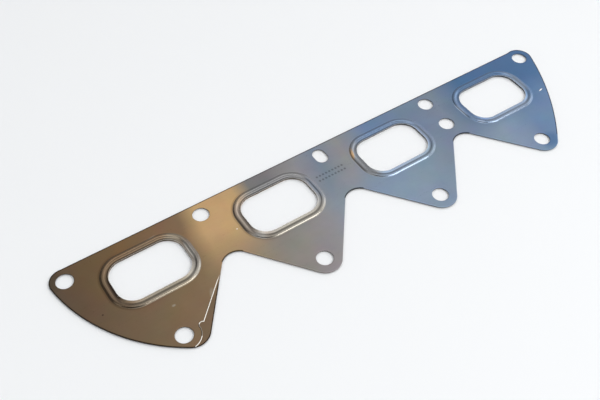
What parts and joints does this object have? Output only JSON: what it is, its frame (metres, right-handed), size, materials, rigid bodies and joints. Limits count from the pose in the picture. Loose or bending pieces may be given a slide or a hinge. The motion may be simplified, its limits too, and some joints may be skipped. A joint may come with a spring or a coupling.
{
  "type": "exhaust manifold gasket",
  "caption": "Flat exhaust manifold gasket of stacked stamped steel layers, with rounded ports in a row, a sealing bead round each, stud holes, and lobes along one edge.",
  "frame": {"origin": "middle of the port row, on the flat underside that meets the cylinder head", "axes": "+X along the port row towards the last port, +Y towards the straight edge, +Z from the cylinder head to the manifold"},
  "size_m": [0.3699, 0.0868, 0.0017],
  "materials": {
    "upper_steel": "cold-rolled stainless sheet with heat tints from bronze to blue",
    "lower_steel": "cold-rolled stainless sheet, darker"
  },
  "bodies": {
    "root": {"upper_layer": "upper_steel", "lower_layer": "lower_steel"}
  },
  "joints": []
}
